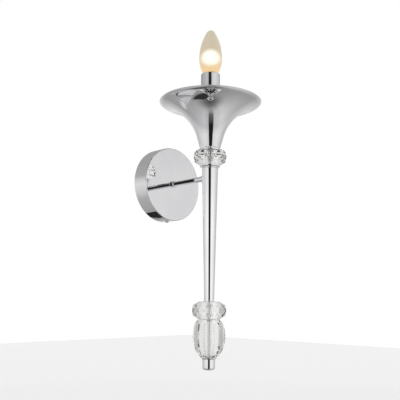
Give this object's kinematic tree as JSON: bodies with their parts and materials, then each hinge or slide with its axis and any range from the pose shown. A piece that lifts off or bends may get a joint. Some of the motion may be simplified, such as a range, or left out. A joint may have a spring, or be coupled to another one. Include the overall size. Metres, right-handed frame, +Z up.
{
  "type": "torch sconce",
  "caption": "Wall light with a chrome trumpet, a candle lamp and faceted crystal beads on a tapered stem, held by a short arm on a round wall plate.",
  "frame": {"origin": "middle of the two wall slots, on the back face of the fixing strap (the wall plane)", "axes": "+Y into the wall, +Z up along the stem, +X to the right for someone facing the wall"},
  "size_m": [0.1535, 0.1809, 0.5075],
  "materials": {
    "chrome": "polished",
    "plate_steel": "zinc plated",
    "brass": "satin",
    "crystal": "cut and polished",
    "clear_plastic": "clear",
    "black_rubber": "matt",
    "block_plastic": "satin",
    "holder_plastic": "satin",
    "ceramic_insert": "matt",
    "sleeve": "polished",
    "lamp_glass": "frosted",
    "lamp_cap": "satin",
    "lamp_insulator": "gloss",
    "filament": "drawn",
    "brown_pvc": "satin",
    "blue_pvc": "satin",
    "green_yellow_pvc": "satin"
  },
  "bodies": {
    "fixture": {"rose": "chrome", "rose_screws": "chrome", "wall_strap": "plate_steel", "cable_bush": "black_rubber", "terminal_block": "block_plastic", "terminal_inserts": "brass", "terminal_screws": "plate_steel", "block_screw": "plate_steel", "arm_earth_tag": "brass", "strap_earth_tag": "brass", "earth_screw": "brass", "arm_tube": "chrome", "arm_collar": "chrome", "arm_ferrule": "chrome", "arm_washer": "plate_steel", "arm_nut": "brass", "stem_tube": "chrome", "stem_head": "chrome", "stem_foot": "chrome", "centre_tube": "plate_steel", "tube_nuts": "brass", "trumpet": "chrome", "candle_seat": "plate_steel", "candle_sleeve": "sleeve", "lampholder_body": "holder_plastic", "lampholder_insert": "ceramic_insert", "lampholder_shell": "brass", "lampholder_contact": "brass", "lampholder_terminals": "brass", "upper_bead": "crystal", "lower_bead": "crystal", "oval_bead": "crystal", "bead_seals": "clear_plastic", "tie_rod": "chrome", "finial": "chrome", "live_wire": "brown_pvc", "neutral_wire": "blue_pvc", "earth_wire": "green_yellow_pvc"},
    "bulb": {"bulb_glass": "lamp_glass", "bulb_cap": "lamp_cap", "bulb_insulator": "lamp_insulator", "bulb_contact": "lamp_cap", "bulb_mount": "lamp_glass", "bulb_filament": "filament"}
  },
  "joints": [
    {"name": "bulb_lift", "type": "slide", "parent": "fixture", "child": "bulb", "axis": [0, 0, 1], "range_m": [0, 0.06]}
  ]
}
